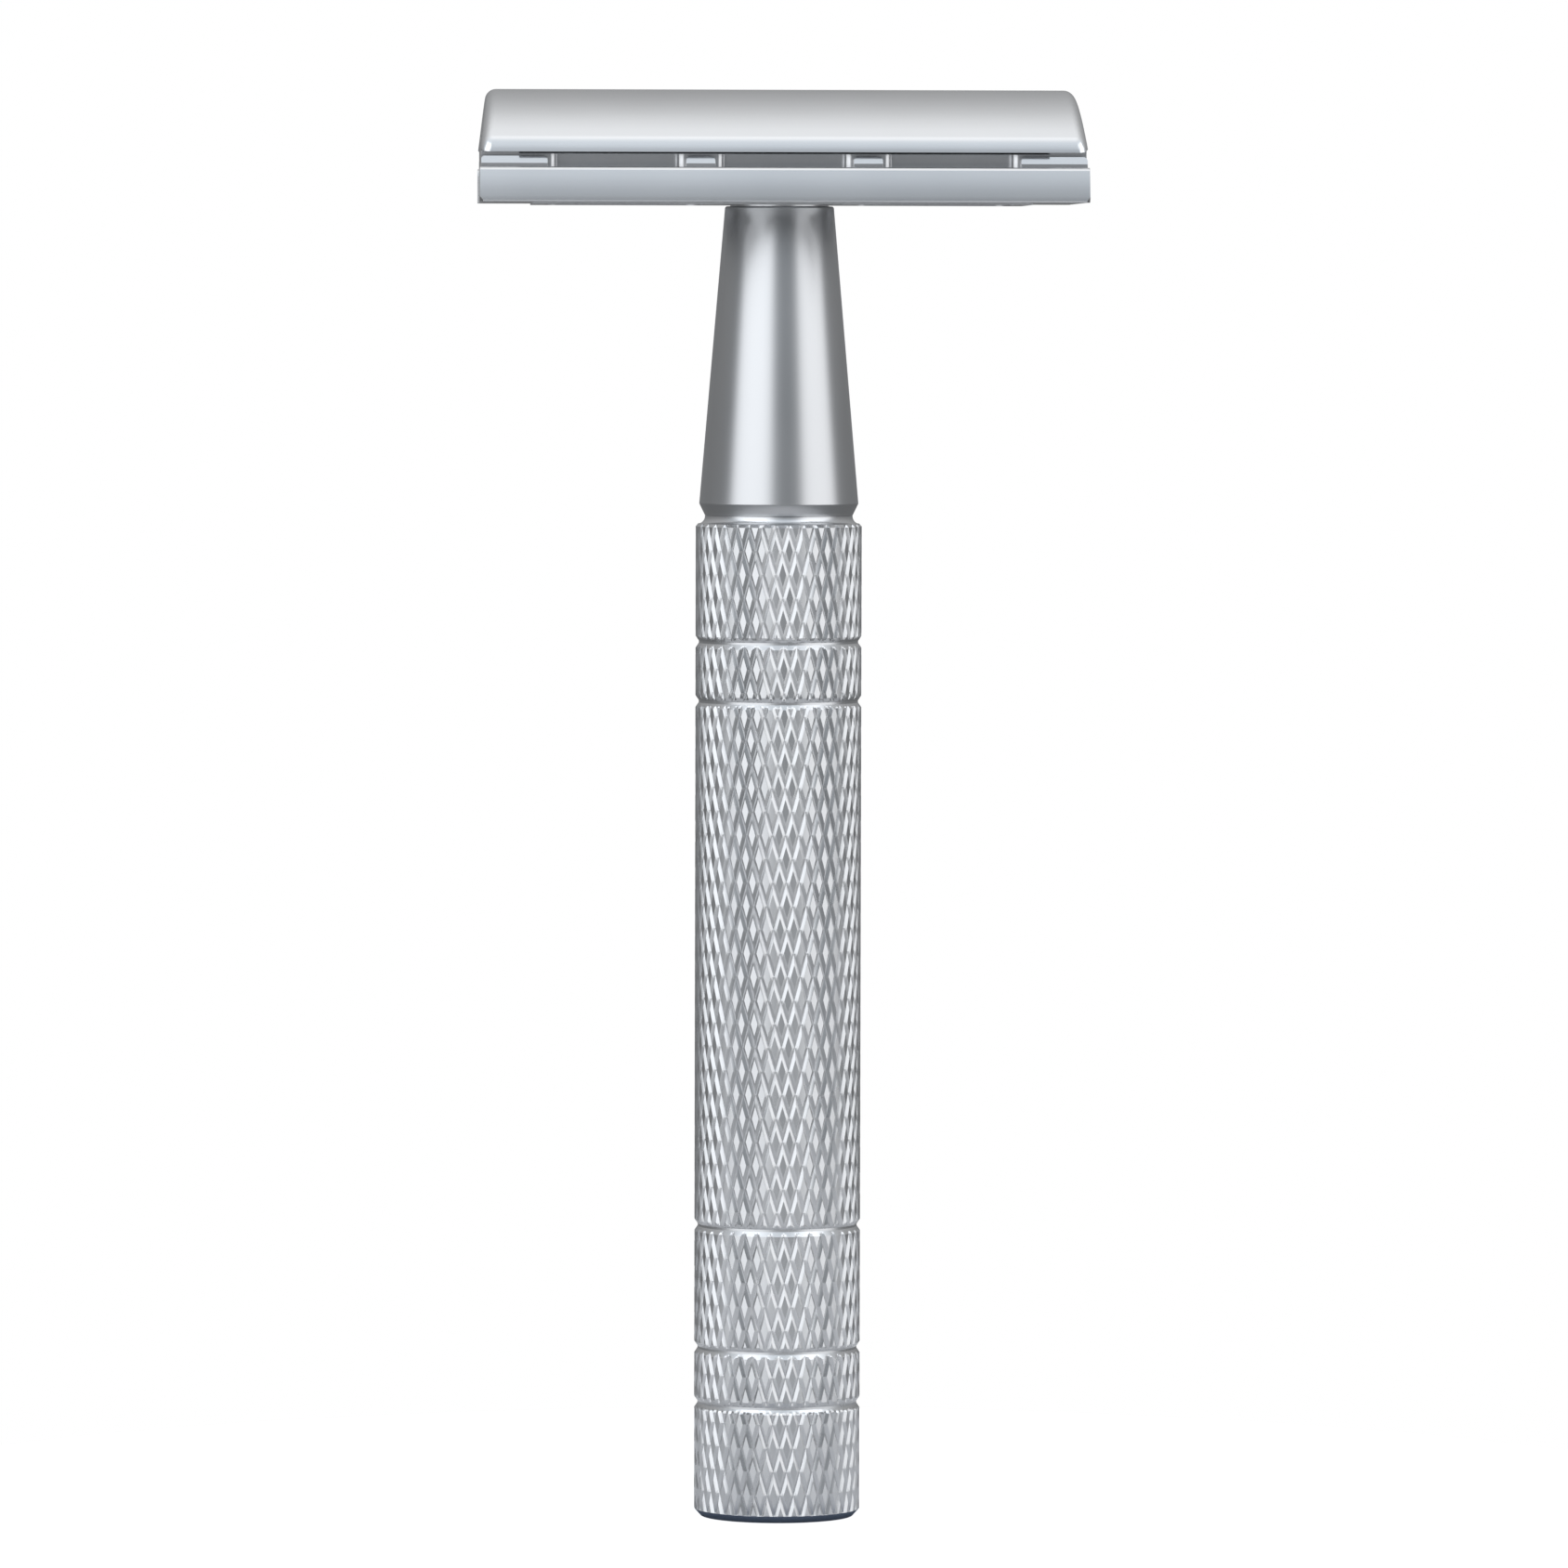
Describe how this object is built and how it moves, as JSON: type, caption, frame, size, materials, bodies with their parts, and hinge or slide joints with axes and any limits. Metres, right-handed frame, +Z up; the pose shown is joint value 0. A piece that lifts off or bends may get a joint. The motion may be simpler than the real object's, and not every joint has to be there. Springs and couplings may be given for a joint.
{
  "type": "safety razor",
  "caption": "Three-piece double-edge safety razor with a straight-bar head, a tapered neck and a long knurled handle cut by narrow grooves.",
  "frame": {"origin": "centre of the handle's flat foot, at the bottom of the razor", "axes": "+Z up the handle to the head, +X along the head, -Y and +Y towards the two cutting edges"},
  "size_m": [0.0434, 0.0248, 0.1032],
  "materials": {
    "satin_chrome": "satin chrome plate over a metal casting",
    "blade_steel": "cold-rolled stainless strip with ground edges",
    "stud_steel": "turned and threaded steel",
    "bush_brass": "turned brass"
  },
  "bodies": {
    "handle": {"grip": "satin_chrome", "neck": "satin_chrome", "neck_insert": "bush_brass", "end_plug": "satin_chrome"},
    "guard": {"base_plate": "satin_chrome"},
    "edge": {"blade": "blade_steel"},
    "top_cap": {"cap": "satin_chrome", "threaded_stud": "stud_steel", "locating_pins": "stud_steel"}
  },
  "joints": [
    {"name": "head_turn", "type": "hinge", "parent": "handle", "child": "guard", "pos_m": [0, 0, 0.0948], "axis": [0, 0, 1], "range_deg": [0, 2880]},
    {"name": "blade_lift", "type": "slide", "parent": "guard", "child": "edge", "axis": [0, 0, 1], "range_m": [0, 0.00321]},
    {"name": "cap_lift", "type": "slide", "parent": "guard", "child": "top_cap", "axis": [0, 0, 1], "range_m": [0, 0.00641]}
  ],
  "couplings": [
    {"joint": "blade_lift", "follows": "head_turn", "m_per_rad": 0.000063662},
    {"joint": "cap_lift", "follows": "head_turn", "m_per_rad": 0.00012732}
  ]
}
